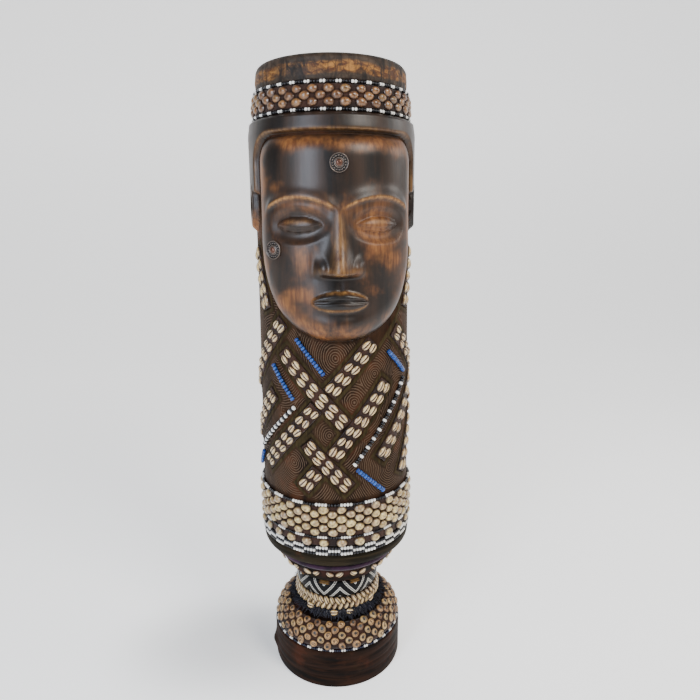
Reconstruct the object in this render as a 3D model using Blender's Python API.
# Ceremonial drum: a tall wooden body carved in one piece with a face on its front, a rawhide
# drumhead, and sewn bands, strips and strings of cowrie shells and glass beads.
# Metres, +Z up. The drum stands on z = 0 and the face looks towards -Y.

import bpy
import bmesh
from math import ceil, cos, degrees, exp, hypot, pi, radians, sin, sqrt

# Heights of the wooden body, each stacked on the one before it
FOOT_WALL_HEIGHT = 0.080
DOME_RISE = 0.048
NECK_HEIGHT = 0.074
CUP_RISE = 0.068
BOWL_RISE = 0.020
BELLY_HEIGHT = 0.012
CHEST_HEIGHT = 0.297
FACE_HEIGHT = 0.338
CROWN_HEIGHT = 0.029
RIM_HEIGHT = 0.039

# Radii of the wooden body
FOOT_RADIUS = 0.1318
DOME_FOOT_RADIUS = 0.1262
DOME_TOP_RADIUS = 0.078
NECK_RADIUS = 0.074
CUP_RADIUS = 0.122
BELLY_RADIUS = 0.1472
BELT_SEAT_RADIUS = 0.1437
CHEST_TOP_RADIUS = 0.1395
BAND_SEAT_RADIUS = 0.1358
BAND_SEAT_TAPER = 0.0035
RIM_RADIUS = 0.1282
DOME_ROUNDNESS = 2.2
CUP_ROUNDNESS = 1.6
BOWL_ROUNDNESS = 2.0
EDGE_CHAMFER = 0.004

# The chamber that sounds under the drumhead
CHAMBER_RADIUS = 0.1160
CHAMBER_FLOOR_RADIUS = 0.1080
CHAMBER_FLOOR_HEIGHT = 0.330

# Rawhide drumhead
SKIN_THICKNESS = 0.0020
SKIN_EDGE_ROUND = 0.009
SKIN_SWELL = 0.0008

# Cloth, cowries and beads
CLOTH_THICKNESS = 0.0014
COWRIE_RISE = 0.0048
SMALL_BEAD = 0.0050
LARGE_BEAD = 0.0058
FOOT_BEAD = 0.0046
HEADBAND_ROWS = 3
HEADBAND_ROW_PITCH = 0.0116
HEADBAND_COWRIES = 24
BELT_ROWS = 6
BELT_ROW_PITCH = 0.0133
BELT_COWRIES = 22
BELT_STRINGS = 3
FOOT_COVER_ROWS = 5
FOOT_COVER_COWRIES = 22
FOOT_COVER_CLEARANCE = 0.0022

# Double rows of cowries on the chest
STRIP_WIDTH = 0.027
STRIP_PAIR_PITCH = 0.0245
STRIP_CLEARANCE = 0.0020
FACE_CLEARANCE = 0.0130
STRIP_SHORTEST = 0.036
BAR_WIDTH = 0.0064
BAR_STEP = 0.024

# Neck trimmings
ROLL_HEIGHT = 0.036
ROLL_THICKNESS = 0.0105
NECK_STRING_HEIGHT = 0.022
NECK_STRING_THICKNESS = 0.0120
NECK_COWRIES = 20
SKIRT_HEIGHT = 0.014
SKIRT_SPREAD = 0.020
CLOTH_RING_RISE = 0.056
CLOTH_RING_WIDTH = 0.012

# Metal studs on the face
STUD_RADIUS = 0.015
STUD_THICKNESS = 0.0022
STUD_DOME = 0.0042
STUD_SIDES = 14

# Head carving
FACE_HALF_WIDTH = 0.148
FACE_EDGE_RISE = 0.013
FACE_EDGE_ROUND = 0.034
FACE_FULLNESS = 0.015
HOOD_THICKNESS = 0.0090
HOOD_EDGE = 0.006
HOOD_OPENING = 0.163
HOOD_CORNER = 0.030
HOOD_BACK_EDGE = 0.950
EAR_ANGLE = 77.0
EAR_HALF_WIDTH = 0.0150
EAR_HALF_HEIGHT = 0.040
EAR_RISE = 0.0098

# Free space between touching pieces, and facets round the turned parts
GAP = 0.0003
BODY_FACETS = 30
NECK_FACETS = 20
CHAMBER_FACETS = 20
DOME_STEPS = 4
CUP_STEPS = 3
BOWL_STEPS = 2

# Levels that follow from the heights
DOME_FOOT = FOOT_WALL_HEIGHT
NECK_FOOT = DOME_FOOT + DOME_RISE
CUP_FOOT = NECK_FOOT + NECK_HEIGHT
BOWL_FOOT = CUP_FOOT + CUP_RISE
BELLY_FOOT = BOWL_FOOT + BOWL_RISE
BELT_FOOT = BELLY_FOOT + BELLY_HEIGHT
BELT_BAND_FOOT = BELT_FOOT + BELT_STRINGS * LARGE_BEAD + 3 * GAP
BELT_BAND_TOP = BELT_BAND_FOOT + BELT_ROWS * BELT_ROW_PITCH
CHEST_FOOT = BELT_BAND_TOP + LARGE_BEAD + 2 * GAP
CHIN = CHEST_FOOT + CHEST_HEIGHT
HAIRLINE = CHIN + FACE_HEIGHT
BAND_FOOT = HAIRLINE + CROWN_HEIGHT
BAND_CLOTH_FOOT = BAND_FOOT + SMALL_BEAD + 2 * GAP
BAND_CLOTH_TOP = BAND_CLOTH_FOOT + HEADBAND_ROWS * HEADBAND_ROW_PITCH
BAND_TOP = BAND_CLOTH_TOP + SMALL_BEAD + 2 * GAP
RIM_TOP = BAND_TOP + RIM_HEIGHT

# Face, in shares of its own height: thirds from the chin to the hairline, and five eyes across
THIRD = FACE_HEIGHT / 3
EYE_WIDTH = 2 * FACE_HALF_WIDTH / 5
TEMPLE = CHIN + FACE_HEIGHT / 2
BROW_LEVEL = CHIN + 2 * THIRD
EYE_LEVEL = BROW_LEVEL - 0.30 * THIRD
NOSE_LEVEL = CHIN + THIRD
MOUTH_LEVEL = CHIN + 0.64 * THIRD
CHIN_LEVEL = CHIN + 0.25 * THIRD

# Centre lines on the chest: at each end the angle from the front in degrees (to +X positive) and the
# height above the chest's foot as a share of the chest's height. The ones that run through come
# before the ones that stop at them.
STRIP_SHARES = {
    "chest_strip_low": ((-25, 0.375), (6, 0.088)),
    "chest_strip_right": ((36, 0.731), (-6, 0.292)),
    "chest_strip_left": ((-43, 0.926), (12, 0.411)),
    "chest_strip_long": ((46, 1.185), (-64, 0.168)),
    "chest_strip_foot": ((-10, 0.273), (-28, 0.081)),
    "shoulder_strip_left": ((-43, 1.101), (-90, 0.640)),
    "shoulder_strip_right": ((45, 1.037), (90, 0.690)),
    "side_strip_left": ((-54, 0.650), (-92, 0.286)),
    "side_strip_right": ((79, 0.717), (31, 0.249)),
    "hip_strip_right": ((86, 0.572), (55, 0.101)),
    "back_strip_rising": ((112, 0.168), (236, 1.330)),
    "back_strip_falling": ((124, 1.330), (248, 0.168)),
}
BAR_SHARES = {
    "blue_bar_throat": ((-31, 1.013), (-11, 0.801)),
    "blue_bar_left": ((-53, 0.835), (-34, 0.636)),
    "blue_bar_right": ((37, 0.919), (57, 0.761)),
    "blue_bar_foot": ((11, 0.212), (33, 0.034)),
    "blue_bar_hip": ((-73, 0.222), (-84, 0.101)),
    "bead_row_left": ((-33, 0.596), (-72, 0.269)),
    "bead_row_right": ((57, 0.727), (9, 0.236)),
}

# The two strips that rise beside the jaw, with heights above the chin as shares of the face's height
FACE_EDGE_ANGLE = degrees(FACE_HALF_WIDTH / CHEST_TOP_RADIUS)
JAW_STRIP_SLANT_DEGREES = 16.0
JAW_STRIP_SHARES = {
    "jaw_strip_left": ((-FACE_EDGE_ANGLE, 0.142), (-FACE_EDGE_ANGLE - JAW_STRIP_SLANT_DEGREES, 0.453)),
    "jaw_strip_right": ((FACE_EDGE_ANGLE, 0.142), (FACE_EDGE_ANGLE + JAW_STRIP_SLANT_DEGREES, 0.453)),
}

# Colours as linear red, green, blue
DARK_WOOD = (0.045, 0.022, 0.013)
RAWHIDE = (0.33, 0.19, 0.09)
COWRIE = (0.62, 0.46, 0.30)
COWRIE_BROWN = (0.42, 0.24, 0.12)
BLUE_GLASS = (0.05, 0.17, 0.52)
CHECKED_BEADS = (0.30, 0.29, 0.28)
DARK_FIBRE = (0.02, 0.02, 0.028)
PURPLE_CLOTH = (0.08, 0.02, 0.06)
WORN_METAL = (0.30, 0.22, 0.16)


def clear_scene():
    for old in list(bpy.data.objects):
        bpy.data.objects.remove(old, do_unlink=True)


def make_material(name, colour, roughness, metallic=0.0):
    """A Principled material with one colour."""
    material = bpy.data.materials.new(name)
    material.use_nodes = True
    shader = material.node_tree.nodes["Principled BSDF"]
    shader.inputs["Base Color"].default_value = (*colour, 1.0)
    shader.inputs["Roughness"].default_value = roughness
    shader.inputs["Metallic"].default_value = metallic
    return material


def spaced(count):
    """Angles in degrees, evenly spaced once round."""
    return [-180.0 + 360.0 * i / count for i in range(count)]


def polar(radius, angle, height):
    """A point at an angle from the front, positive towards +X."""
    turn = radians(angle)
    return (radius * sin(turn), -radius * cos(turn), height)


def add_row(mesh, angles, radius, height):
    """One closed row of vertices. radius and height are numbers or functions of the index."""
    row = []
    for index, angle in enumerate(angles):
        reach = radius(index) if callable(radius) else radius
        level = height(index) if callable(height) else height
        row.append((angle, mesh.verts.new(polar(reach, angle, level))))
    return row


def join_rows(mesh, lower, upper):
    """Triangles between two closed rows, which may have different numbers of vertices."""
    def angle_at(row, index):
        return row[index % len(row)][0] + 360.0 * (index // len(row))

    low, high = 0, 0
    while low < len(lower) or high < len(upper):
        low_vertex = lower[low % len(lower)][1]
        high_vertex = upper[high % len(upper)][1]
        step_low = high >= len(upper) or (
            low < len(lower) and angle_at(lower, low + 1) <= angle_at(upper, high + 1))
        if step_low:
            low += 1
            mesh.faces.new((low_vertex, lower[low % len(lower)][1], high_vertex))
        else:
            high += 1
            mesh.faces.new((low_vertex, upper[high % len(upper)][1], high_vertex))


def finish(mesh, name, material, collection, smooth=40.0):
    """Turns a closed mesh into one named object with its faces pointing out."""
    bmesh.ops.recalc_face_normals(mesh, faces=mesh.faces)
    data = bpy.data.meshes.new(name)
    mesh.to_mesh(data)
    mesh.free()
    data.materials.append(material)
    data.shade_smooth()
    data.set_sharp_from_angle(angle=radians(smooth))
    made = bpy.data.objects.new(name, data)
    collection.objects.link(made)
    return made


def turned_solid(rows, name, material, collection):
    """A solid from rows of vertices: the first and the last row are closed with flat ends."""
    mesh = bmesh.new()
    made = [add_row(mesh, *row) for row in rows]
    for lower, upper in zip(made, made[1:]):
        join_rows(mesh, lower, upper)
    mesh.faces.new([vertex for _, vertex in made[0]])
    mesh.faces.new([vertex for _, vertex in made[-1]])
    return finish(mesh, name, material, collection)


def turned_ring(rows, name, material, collection):
    """A ring round the axis: the rows go round its section and the last joins the first."""
    mesh = bmesh.new()
    made = [add_row(mesh, *row) for row in rows]
    for lower, upper in zip(made, made[1:] + made[:1]):
        join_rows(mesh, lower, upper)
    return finish(mesh, name, material, collection)


def smooth_step(value):
    """0 below 0, 1 above 1, and an even curve between."""
    clipped = min(1.0, max(0.0, value))
    return clipped * clipped * (3.0 - 2.0 * clipped)


def bell(distance, spread):
    """A soft bump of height 1 that has faded out at twice its spread."""
    return exp(-(distance / spread) ** 2)


def quarter_curve(share, roundness):
    """1 at share 0 falling to 0 at share 1 along a rounded quarter."""
    return max(0.0, 1.0 - share ** roundness) ** (1.0 / roundness)


def dome_stations():
    """Height and radius of the foot's dome, from its foot to the neck."""
    reach = DOME_FOOT_RADIUS - DOME_TOP_RADIUS
    return [(DOME_FOOT + DOME_RISE * step / DOME_STEPS,
             DOME_TOP_RADIUS + reach * quarter_curve(step / DOME_STEPS, DOME_ROUNDNESS))
            for step in range(DOME_STEPS + 1)]


def bowl_stations():
    """Height and radius of the cup over the neck, and of the bowl under the belly above it."""
    cup = [(CUP_FOOT + CUP_RISE * step / CUP_STEPS,
            NECK_RADIUS + (CUP_RADIUS - NECK_RADIUS) * quarter_curve(1.0 - step / CUP_STEPS, CUP_ROUNDNESS))
           for step in range(CUP_STEPS + 1)]
    return cup + [(BOWL_FOOT + BOWL_RISE * step / BOWL_STEPS,
                   CUP_RADIUS + (BELLY_RADIUS - CUP_RADIUS) * quarter_curve(1.0 - step / BOWL_STEPS, BOWL_ROUNDNESS))
                  for step in range(1, BOWL_STEPS + 1)]


def along(stations, level):
    """The radius at a level, on straight lines between stations."""
    for (low, start), (high, end) in zip(stations, stations[1:]):
        if level <= high:
            return start + (end - start) * (level - low) / (high - low)
    return stations[-1][1]


def torso_stations():
    """Height and radius of the plain torso, from the belt up to the headband."""
    return [(BELT_FOOT, BELT_SEAT_RADIUS),
            (CHEST_FOOT, BELT_SEAT_RADIUS),
            (CHIN + THIRD, CHEST_TOP_RADIUS),
            (BAND_FOOT, CHEST_TOP_RADIUS)]


def torso_radius(level):
    return along(torso_stations(), level)


def depth_inside_face(across, level):
    """How far a point lies inside the face's outline, negative outside it."""
    if level >= TEMPLE:
        return min(FACE_HALF_WIDTH - abs(across), HAIRLINE - HOOD_EDGE - level)
    reach = hypot(across / FACE_HALF_WIDTH, (TEMPLE - level) / (TEMPLE - CHIN))
    return (1.0 - reach) * FACE_HALF_WIDTH


def hood_relief(across, level):
    """The carved hood: it frames the forehead and temples and ends below the ears' tops."""
    corner_x = HOOD_OPENING - HOOD_CORNER
    corner_z = HAIRLINE - HOOD_CORNER
    over_x = max(0.0, abs(across) - corner_x)
    over_z = max(0.0, level - corner_z)
    outside = hypot(over_x, over_z) - HOOD_CORNER
    below = HOOD_BACK_EDGE - level
    covered = smooth_step(0.5 + outside / HOOD_EDGE) * smooth_step(0.5 - below / HOOD_EDGE)
    swell = 1.0 - 0.35 * smooth_step((level - HAIRLINE) / CROWN_HEIGHT)
    return HOOD_THICKNESS * covered * swell


def ear_relief(angle, level):
    """A plain carved ear with a raised rim round a hollow."""
    across = radians(abs(angle) - EAR_ANGLE) * CHEST_TOP_RADIUS / EAR_HALF_WIDTH
    up = (level - (HOOD_BACK_EDGE - EAR_HALF_HEIGHT * 0.55)) / EAR_HALF_HEIGHT
    reach = hypot(across, up)
    return EAR_RISE * (smooth_step((1.15 - reach) / 0.3) - 0.45 * smooth_step((0.6 - reach) / 0.3))


def brow_relief(across, level):
    """A calm arched ridge over each eye."""
    side = (abs(across) - EYE_WIDTH) / EYE_WIDTH
    ridge = BROW_LEVEL + 0.012 - 0.022 * side * side
    fade = smooth_step((1.05 - abs(side)) / 0.3)
    return 0.0055 * bell(level - ridge, 0.0085) * fade


def eye_relief(across, level):
    """A shallow socket with a closed almond lid and the line where the lids meet."""
    side = (abs(across) - EYE_WIDTH) / EYE_WIDTH
    up = (level - EYE_LEVEL) / (0.42 * EYE_WIDTH)
    socket = -0.0085 * smooth_step(1.25 - hypot(side / 0.78, up / 1.1) ** 2)
    lid_width = max(0.0, 1.0 - (side / 0.56) ** 2)
    lid = 0.0100 * lid_width * quarter_curve(min(1.0, abs(up) / 0.72), 2.0)
    seam_level = EYE_LEVEL - 0.0050 * lid_width
    seam = -0.0030 * bell(level - seam_level, 0.0032) * lid_width
    return socket + lid + seam


def nose_relief(across, level):
    """A straight bridge that widens to a rounded tip between two wings."""
    down = (BROW_LEVEL - level) / (BROW_LEVEL - NOSE_LEVEL)
    if down < -0.15:
        return 0.0
    share = min(1.0, max(0.0, down))
    under = smooth_step((1.06 - down) / 0.10)
    top = smooth_step((down + 0.15) / 0.3)
    ridge = (0.007 + 0.017 * share ** 1.5) * bell(across, 0.0095 + 0.0085 * share)
    wings = 0.0125 * bell(abs(across) - 0.40 * EYE_WIDTH, 0.0095) * bell(down - 0.90, 0.13)
    return (ridge + wings) * under * top


def mouth_relief(across, level):
    """Two full lips that meet in an even line, with the dip under the nose."""
    width = 0.70 * EYE_WIDTH
    share = max(0.0, 1.0 - (across / width) ** 2)
    lips = 0.0090 * (bell(level - MOUTH_LEVEL - 0.0075, 0.0078) + bell(level - MOUTH_LEVEL + 0.0085, 0.0088))
    parting = -0.0050 * bell(level - MOUTH_LEVEL, 0.0036)
    mound = 0.0040 * bell(across, 0.042) * bell(level - MOUTH_LEVEL, 0.034)
    return (lips + parting) * sqrt(share) + mound


def cheek_and_chin_relief(across, level):
    cheeks = 0.0045 * bell(abs(across) - 1.35 * EYE_WIDTH, 0.042) * bell(level - NOSE_LEVEL - 0.030, 0.045)
    chin = 0.0065 * bell(across, 0.034) * bell(level - CHIN_LEVEL, 0.022)
    return cheeks + chin


def face_relief(across, level):
    """Height of the face above the torso."""
    inside = depth_inside_face(across, level)
    if inside <= 0.0:
        return 0.0
    shoulder = quarter_curve(1.0 - min(1.0, inside / FACE_EDGE_ROUND), 2.0)
    round_off = 1.0 - (across / FACE_HALF_WIDTH) ** 2
    forward = 0.62 + 0.38 * smooth_step((HAIRLINE - level) / (2.0 * THIRD))
    features = (brow_relief(across, level) + eye_relief(across, level) + nose_relief(across, level)
                + mouth_relief(across, level) + cheek_and_chin_relief(across, level))
    return shoulder * (FACE_EDGE_RISE + FACE_FULLNESS * round_off * forward + features)


def head_radius(angle, level):
    """The carved head's radius at an angle and a level."""
    base = torso_radius(level)
    across = radians(angle) * CHEST_TOP_RADIUS
    relief = max(face_relief(across, level), hood_relief(across, level))
    return base + max(relief, ear_relief(angle, level))


def head_levels():
    """Rows over the head: close together over the features and wide on the forehead."""
    fine, wide = 0.0118, 0.028
    levels = [CHIN - 0.004, CHIN + 0.006, CHIN + 0.018]
    feature_top = BROW_LEVEL + 0.026
    count = ceil((feature_top - CHIN - 0.030) / fine)
    levels += [CHIN + 0.030 + (feature_top - CHIN - 0.030) * i / count for i in range(count)]
    top = HAIRLINE - 2.2 * HOOD_EDGE
    count = ceil((top - feature_top) / wide)
    levels += [feature_top + (top - feature_top) * i / count for i in range(count)]
    levels += [top, HAIRLINE - 0.7 * HOOD_EDGE, HAIRLINE + 0.5 * HOOD_EDGE]
    return levels + [HAIRLINE + 0.55 * CROWN_HEIGHT, BAND_FOOT - 0.0065]


def head_angles(level):
    """Columns over the head: closest over the features, then the ears, and wide at the back."""
    over_features = CHIN + 0.030 <= level <= BROW_LEVEL + 0.020
    front_step = 4.0 if over_features else 7.0
    front_edge = 44.0 if over_features else 42.0
    half = [front_step * i for i in range(round(front_edge / front_step) + 1)]
    half += [50.0, 56.0, 61.5, 66.0]
    near_ear = abs(level - HOOD_BACK_EDGE + EAR_HALF_HEIGHT / 2) < 1.3 * EAR_HALF_HEIGHT
    half += [71.0, 74.5, 79.5, 83.0] if near_ear else [70.0, 80.0]
    half += [92.0, 112.0, 138.0, 166.0]
    return sorted({-angle for angle in half} | set(half))


def build_body(material, collection):
    """The wooden body, from the flat foot up its outside and down into the chamber."""
    facets = spaced(BODY_FACETS)
    rows = [(facets, FOOT_RADIUS - EDGE_CHAMFER / 2, 0.0),
            (facets, FOOT_RADIUS, EDGE_CHAMFER),
            (facets, FOOT_RADIUS, DOME_FOOT)]
    rows += [(facets, radius, level) for level, radius in dome_stations()]
    neck = spaced(NECK_FACETS)
    rows += [(neck, NECK_RADIUS, NECK_FOOT + GAP), (neck, NECK_RADIUS, CUP_FOOT)]
    rows += [(facets, radius, level) for level, radius in bowl_stations()[1:]]
    rows += [(facets, BELLY_RADIUS, BELT_FOOT - EDGE_CHAMFER)]
    rows += [(facets, radius, level) for level, radius in torso_stations()[:2]]
    rows += [(facets, torso_radius(CHEST_FOOT + share * CHEST_HEIGHT), CHEST_FOOT + share * CHEST_HEIGHT)
             for share in (0.5, 0.93)]
    for level in head_levels():
        angles = head_angles(level)
        rows.append((angles, lambda index, angles=angles, level=level: head_radius(angles[index], level), level))
    rows += [(facets, BAND_SEAT_RADIUS, BAND_FOOT - GAP),
             (facets, BAND_SEAT_RADIUS - BAND_SEAT_TAPER, BAND_TOP),
             (facets, RIM_RADIUS, BAND_TOP + GAP),
             (facets, RIM_RADIUS, RIM_TOP - SKIN_EDGE_ROUND),
             (facets, RIM_RADIUS - SKIN_EDGE_ROUND / 2, RIM_TOP)]
    inner = spaced(CHAMBER_FACETS)
    rows += [(inner, CHAMBER_RADIUS, RIM_TOP), (inner, CHAMBER_FLOOR_RADIUS, CHAMBER_FLOOR_HEIGHT)]
    return turned_solid(rows, "drum_body", material, collection)


def build_drumhead(material, collection):
    """Rawhide over the mouth, lapped down the rim to the headband."""
    facets = spaced(BODY_FACETS)
    inside = RIM_RADIUS + GAP
    outside = inside + SKIN_THICKNESS
    under = RIM_TOP + GAP
    over = under + SKIN_THICKNESS
    hem = BAND_TOP + 2 * GAP
    turn = SKIN_EDGE_ROUND + SKIN_THICKNESS
    rows = [(facets, inside - SKIN_EDGE_ROUND / 2 + GAP, under),
            (facets, inside, RIM_TOP - SKIN_EDGE_ROUND),
            (facets, inside, hem),
            (facets, outside, hem),
            (facets, outside + SKIN_SWELL, (hem + over) / 2),
            (facets, outside - 0.3 * turn, over - 0.3 * turn),
            (facets, outside - turn, over)]
    return turned_solid(rows, "drumhead_skin", material, collection)


def offset_path(path, distance):
    """A height and radius path moved outwards along its normals."""
    moved = []
    for index, (level, radius) in enumerate(path):
        before = path[max(0, index - 1)]
        after = path[min(len(path) - 1, index + 1)]
        rise, run = after[0] - before[0], after[1] - before[1]
        size = hypot(rise, run)
        moved.append((level - run / size * distance, radius + rise / size * distance))
    return moved


def resampled(path, count):
    """Evenly spaced points along a height and radius path, both ends included."""
    steps = [hypot(b[0] - a[0], b[1] - a[1]) for a, b in zip(path, path[1:])]
    spots = []
    for index in range(count):
        left = sum(steps) * index / (count - 1)
        part = 0
        while part < len(steps) - 1 and left > steps[part]:
            left -= steps[part]
            part += 1
        share = left / steps[part]
        spots.append(tuple(a + (b - a) * share for a, b in zip(path[part], path[part + 1])))
    return spots


def cowrie_band(name, seat, seat_facets, rows, cowries, material, collection):
    """A cloth band on a turned seat, with staggered rows of cowrie domes sewn on it."""
    inner = offset_path(seat, GAP)
    spots = resampled(seat, rows + 2)
    low = offset_path(spots, GAP + CLOTH_THICKNESS)
    high = offset_path(spots, GAP + CLOTH_THICKNESS + COWRIE_RISE)
    outer_facets = spaced(2 * cowries)
    section = [(spaced(seat_facets), radius, level) for level, radius in reversed(inner)]
    for row, (flat, dome) in enumerate(zip(low, high)):
        sewn = 0 < row <= rows

        def pick(part, sewn=sewn, row=row, flat=flat, dome=dome):
            return lambda index: (dome if sewn and (index + row) % 2 else flat)[part]

        section.append((outer_facets, pick(1), pick(0)))
    return turned_ring(section, name, material, collection)


def bead_string(name, seat_radius, level, thickness, material, collection, strings=1):
    """A string of beads round the drum, resting against its seat. Several strings lie in a stack."""
    facets = spaced(BODY_FACETS)
    inside = seat_radius + GAP
    top = level + strings * thickness
    rows = [(facets, inside, top), (facets, inside, level)]
    if strings == 1:
        rows.append((facets, inside + thickness, level + thickness / 2))
    else:
        rows += [(facets, inside + thickness, level + thickness / 3),
                 (facets, inside + thickness, top - thickness / 3)]
    return turned_ring(rows, name, material, collection)


def on_torso(angle, level, height):
    """A point that stands a height above the plain torso."""
    return polar(torso_radius(level) + height, angle, level)


def distance_to_line(point, line):
    """Distance on the unrolled torso from a point to a centre line, and its ends included."""
    (ax, az), (bx, bz) = line
    length = hypot(bx - ax, bz - az)
    share = ((point[0] - ax) * (bx - ax) + (point[1] - az) * (bz - az)) / length ** 2
    share = min(1.0, max(0.0, share))
    return hypot(point[0] - ax - share * (bx - ax), point[1] - az - share * (bz - az))


def unrolled(ends, foot, height):
    """A centre line on the unrolled torso, with both ends as arc length and height above the floor."""
    return tuple((radians(angle) * BELT_SEAT_RADIUS, foot + share * height) for angle, share in ends)


def is_clear(point, lines, own_line, clearance):
    """Whether a point keeps clear of the face, the belt and the lines laid before."""
    across, level = point
    on_face = across * CHEST_TOP_RADIUS / BELT_SEAT_RADIUS
    if level < CHEST_FOOT + clearance or depth_inside_face(on_face, level) > -FACE_CLEARANCE:
        return False
    turn = 2 * pi * BELT_SEAT_RADIUS
    for line, half_width in lines:
        if line == own_line:
            continue
        for shift in (-turn, 0.0, turn):
            if distance_to_line((across + shift, level), line) < half_width + clearance:
                return False
    return True


def clear_runs(line, width, lines):
    """The stretches of a centre line whose whole width is clear, each as two ends."""
    (ax, az), (bx, bz) = line
    length = hypot(bx - ax, bz - az)
    side = ((bz - az) / length * width / 2, -(bx - ax) / length * width / 2)
    samples = ceil(length / 0.001)
    runs = []
    start = None
    for index in range(samples + 1):
        spot = (ax + (bx - ax) * index / samples, az + (bz - az) * index / samples)
        edges = [(spot[0] + k * side[0], spot[1] + k * side[1]) for k in (-1, 0, 1)]
        clear = all(is_clear(edge, lines, line, STRIP_CLEARANCE) for edge in edges)
        if clear and start is None:
            start = spot
        if start is not None and (not clear or index == samples):
            if hypot(spot[0] - start[0], spot[1] - start[1]) >= STRIP_SHORTEST:
                runs.append((start, last))
            start = None
        last = spot
    return runs


def laid_strip(name, run, width, step, heights, material, collection):
    """A narrow band that lies on the torso along a straight run of the unrolled surface."""
    (ax, az), (bx, bz) = run
    length = hypot(bx - ax, bz - az)
    side = ((bz - az) / length * width / 2, -(bx - ax) / length * width / 2)
    count = max(2, round(length / step)) * len(heights)
    longest = hypot(width, length / count) / 2
    seat = GAP + CHEST_TOP_RADIUS * (1.0 - cos(longest / CHEST_TOP_RADIUS))
    mesh = bmesh.new()
    sections = []
    for index in range(count + 1):
        spot = (ax + (bx - ax) * index / count, az + (bz - az) * index / count)
        top = seat + heights[index % len(heights)]
        section = []
        for share, height in ((-1.0, seat), (-0.72, top), (0.72, top), (1.0, seat)):
            angle = degrees((spot[0] + share * side[0]) / BELT_SEAT_RADIUS)
            section.append(mesh.verts.new(on_torso(angle, spot[1] + share * side[1], height)))
        sections.append(section)
    for here, there in zip(sections, sections[1:]):
        for corner in range(len(here)):
            after = (corner + 1) % len(here)
            mesh.faces.new((here[corner], here[after], there[after], there[corner]))
    mesh.faces.new(sections[0])
    mesh.faces.new(sections[-1])
    bmesh.ops.triangulate(mesh, faces=mesh.faces)
    return finish(mesh, name, material, collection)


def build_chest(materials, collection):
    """Cowrie strips, blue bars and rows of black and white beads over the chest and the back."""
    strips = {name: unrolled(ends, CHEST_FOOT, CHEST_HEIGHT) for name, ends in STRIP_SHARES.items()}
    strips |= {name: unrolled(ends, CHIN, FACE_HEIGHT) for name, ends in JAW_STRIP_SHARES.items()}
    lines = []
    for name, line in strips.items():
        runs = clear_runs(line, STRIP_WIDTH, lines)
        lines.append((line, STRIP_WIDTH / 2))
        heights = (CLOTH_THICKNESS, CLOTH_THICKNESS + COWRIE_RISE)
        if name.startswith("back"):
            heights = heights[1:]
        for number, run in enumerate(runs, 1):
            part = name if len(runs) == 1 else f"{name}_{number}"
            laid_strip(part, run, STRIP_WIDTH, STRIP_PAIR_PITCH, heights, materials["cowrie"], collection)
    for name, ends in BAR_SHARES.items():
        line = unrolled(ends, CHEST_FOOT, CHEST_HEIGHT)
        runs = clear_runs(line, BAR_WIDTH, lines)
        lines.append((line, BAR_WIDTH / 2))
        glass = materials["blue" if name.startswith("blue") else "checked"]
        for number, run in enumerate(runs, 1):
            part = name if len(runs) == 1 else f"{name}_{number}"
            laid_strip(part, run, BAR_WIDTH, BAR_STEP, (LARGE_BEAD,), glass, collection)


def build_bands(materials, collection):
    """Headband, belt and foot cover with their bead strings."""
    def band_seat(level):
        share = (level - BAND_FOOT + GAP) / (BAND_TOP - BAND_FOOT + GAP)
        return BAND_SEAT_RADIUS - BAND_SEAT_TAPER * share

    cloth = [(level, band_seat(level)) for level in (BAND_CLOTH_FOOT, BAND_CLOTH_TOP)]
    cowrie_band("headband", cloth, BODY_FACETS, HEADBAND_ROWS, HEADBAND_COWRIES,
                materials["cowrie_brown"], collection)
    bead_string("headband_lower_string", band_seat(BAND_FOOT), BAND_FOOT, SMALL_BEAD,
                materials["checked"], collection)
    bead_string("headband_upper_string", band_seat(BAND_CLOTH_TOP), BAND_CLOTH_TOP + 2 * GAP, SMALL_BEAD,
                materials["checked"], collection)
    belt = [(BELT_BAND_FOOT, BELT_SEAT_RADIUS), (BELT_BAND_TOP - GAP, BELT_SEAT_RADIUS)]
    cowrie_band("belt", belt, BODY_FACETS, BELT_ROWS, BELT_COWRIES, materials["cowrie"], collection)
    bead_string("belt_upper_string", BELT_SEAT_RADIUS, BELT_BAND_TOP + GAP, LARGE_BEAD,
                materials["checked"], collection)
    bead_string("belt_lower_strings", BELT_SEAT_RADIUS, BELT_FOOT + GAP, LARGE_BEAD,
                materials["checked"], collection, strings=BELT_STRINGS)
    dome = dome_stations()
    cover_foot = DOME_FOOT + FOOT_BEAD + 2 * GAP
    cover_radius = NECK_RADIUS + GAP + SKIRT_SPREAD + FOOT_COVER_CLEARANCE
    (low, wide), (high, narrow) = dome[-2:]
    cover_top = low + (high - low) * (wide - cover_radius) / (wide - narrow)
    cover = [(cover_foot, along(dome, cover_foot))]
    cover += [spot for spot in dome if cover_foot < spot[0] < cover_top] + [(cover_top, cover_radius)]
    cowrie_band("foot_cover", cover, BODY_FACETS, FOOT_COVER_ROWS, FOOT_COVER_COWRIES,
                materials["cowrie_brown"], collection)
    bead_string("foot_rim_string", DOME_FOOT_RADIUS, DOME_FOOT + GAP, FOOT_BEAD,
                materials["checked"], collection)


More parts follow.
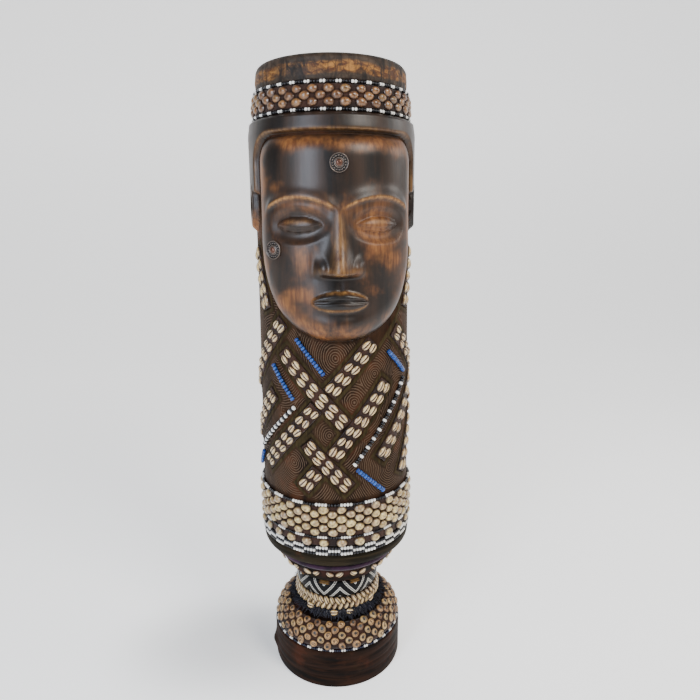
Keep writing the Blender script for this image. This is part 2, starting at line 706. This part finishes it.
def build_neck(materials, collection):
    """The fibre skirt, the string of cowries and the beaded roll round the neck, and the bowl's ring."""
    facets = spaced(NECK_FACETS)
    inside = NECK_RADIUS + GAP
    skirt_foot = NECK_FOOT + 3 * GAP
    tufts = spaced(2 * NECK_FACETS)
    rows = [(facets, inside, skirt_foot + SKIRT_HEIGHT),
            (facets, inside, skirt_foot + GAP),
            (tufts, lambda i: inside + SKIRT_SPREAD * (0.75 + 0.25 * (i % 2)), skirt_foot + GAP),
            (tufts, lambda i: inside + SKIRT_SPREAD * (0.60 + 0.15 * (i % 2)), skirt_foot + 0.6 * SKIRT_HEIGHT)]
    turned_ring(rows, "neck_fibre_skirt", materials["fibre"], collection)

    string_foot = skirt_foot + SKIRT_HEIGHT + GAP
    shells = spaced(2 * NECK_COWRIES)
    rows = [(facets, inside, string_foot + NECK_STRING_HEIGHT),
            (facets, inside, string_foot),
            (shells, lambda i: inside + NECK_STRING_THICKNESS * (1.0 - 0.28 * (i % 2)),
             string_foot + 0.2 * NECK_STRING_HEIGHT),
            (shells, lambda i: inside + NECK_STRING_THICKNESS * (0.72 + 0.28 * (i % 2)),
             string_foot + 0.7 * NECK_STRING_HEIGHT)]
    turned_ring(rows, "neck_cowrie_string", materials["cowrie"], collection)

    roll_foot = string_foot + NECK_STRING_HEIGHT + GAP
    roll_top = min(roll_foot + ROLL_HEIGHT, CUP_FOOT - GAP)
    middle = (roll_foot + roll_top) / 2
    rows = [(facets, inside, roll_top),
            (facets, inside, roll_foot),
            (facets, inside + 0.75 * ROLL_THICKNESS, roll_foot + 0.002),
            (facets, inside + ROLL_THICKNESS, middle),
            (facets, inside + 0.75 * ROLL_THICKNESS, roll_top - 0.002)]
    turned_ring(rows, "neck_beaded_roll", materials["checked"], collection)

    bowl = bowl_stations()
    low = CUP_FOOT + CLOTH_RING_RISE - CLOTH_RING_WIDTH / 2
    high = low + CLOTH_RING_WIDTH
    path = [(low, along(bowl, low))] + [spot for spot in bowl if low < spot[0] < high] + [(high, along(bowl, high))]
    seat = offset_path(path, GAP)
    out_level, out_radius = offset_path(resampled(path, 3), CLOTH_THICKNESS + COWRIE_RISE)[1]
    body = spaced(BODY_FACETS)
    rows = [(body, radius, level) for level, radius in reversed(seat)]
    rows.append((body, out_radius, out_level))
    turned_ring(rows, "bowl_cloth_ring", materials["purple"], collection)


def build_stud(name, across, level, material, collection):
    """A round metal stud whose flat back lies against the face."""
    angle = degrees(across / CHEST_TOP_RADIUS)
    nearby = [(across + dx * STUD_RADIUS, level + dz * STUD_RADIUS)
              for dx in (-1.0, -0.5, 0.0, 0.5, 1.0) for dz in (-1.0, -0.5, 0.0, 0.5, 1.0) if hypot(dx, dz) < 1.1]
    turn = radians(angle)
    reach = max(head_radius(degrees(x / CHEST_TOP_RADIUS), z) * cos(x / CHEST_TOP_RADIUS - turn)
                for x, z in nearby)
    rows = [(spaced(STUD_SIDES), STUD_RADIUS, 0.0),
            (spaced(STUD_SIDES), STUD_RADIUS, STUD_THICKNESS),
            (spaced(STUD_SIDES // 2), 0.45 * STUD_RADIUS, STUD_THICKNESS),
            (spaced(STUD_SIDES // 2), 0.22 * STUD_RADIUS, STUD_THICKNESS + STUD_DOME)]
    stud = turned_solid(rows, name, material, collection)
    stud.location = polar(reach + GAP, angle, level)
    stud.rotation_euler = (pi / 2, 0.0, turn)
    return stud


def build_drum():
    clear_scene()
    collection = bpy.data.collections.new("ceremonial_drum")
    bpy.context.scene.collection.children.link(collection)
    wood = make_material("carved_wood", DARK_WOOD, 0.35)
    materials = {
        "cowrie": make_material("pale_cowries", COWRIE, 0.35),
        "cowrie_brown": make_material("brown_cowries", COWRIE_BROWN, 0.35),
        "checked": make_material("black_and_white_beads", CHECKED_BEADS, 0.25),
        "blue": make_material("blue_glass_beads", BLUE_GLASS, 0.2),
        "fibre": make_material("dark_fibre", DARK_FIBRE, 0.9),
        "purple": make_material("purple_cloth", PURPLE_CLOTH, 0.9),
    }
    build_body(wood, collection)
    build_drumhead(make_material("rawhide", RAWHIDE, 0.6), collection)
    build_bands(materials, collection)
    build_chest(materials, collection)
    build_neck(materials, collection)
    metal = make_material("worn_metal", WORN_METAL, 0.4, 0.9)
    build_stud("forehead_stud", 0.0, BROW_LEVEL + 0.55 * THIRD, metal, collection)
    build_stud("cheek_stud", -1.62 * EYE_WIDTH, NOSE_LEVEL + 0.36 * THIRD, metal, collection)


build_drum()
